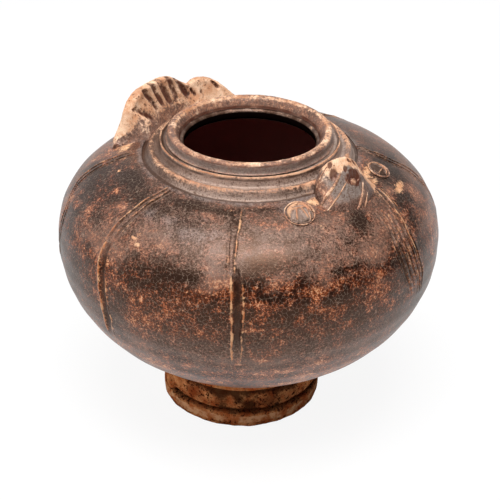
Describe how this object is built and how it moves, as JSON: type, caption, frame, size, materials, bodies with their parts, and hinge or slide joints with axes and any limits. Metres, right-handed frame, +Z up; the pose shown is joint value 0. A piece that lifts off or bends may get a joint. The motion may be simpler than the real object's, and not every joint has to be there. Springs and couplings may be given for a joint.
{
  "type": "small stoneware jar",
  "caption": "Small brown-glazed stoneware jar with a stepped collar, an open mouth, incised lines, and an animal's head and tail on its shoulder.",
  "frame": {"origin": "on the globe's axis, at the flat underside of the foot", "axes": "+Z up through the mouth, -Y to the front, +X to the right, where the head is"},
  "size_m": [0.1404, 0.1404, 0.1181],
  "materials": {
    "brown_glaze": "satin",
    "buff_clay": "matt",
    "foot_clay": "matt"
  },
  "bodies": {
    "root": {"lower_body": "brown_glaze", "shoulder": "brown_glaze", "neck_collar": "brown_glaze", "mouth_rim": "buff_clay", "foot_pedestal": "foot_clay", "foot_coil": "foot_clay", "foot_coil_end": "foot_clay", "foot_luting": "foot_clay", "tail_left_lobe": "buff_clay", "tail_right_lobe": "buff_clay", "head_lug": "buff_clay", "head_strip_1": "buff_clay", "head_strip_2": "buff_clay", "head_strip_3": "buff_clay", "head_strip_4": "buff_clay", "head_strip_5": "buff_clay", "left_eye_boss": "brown_glaze", "right_eye_boss": "brown_glaze", "left_eye_ring": "buff_clay", "right_eye_ring": "buff_clay"}
  },
  "joints": []
}
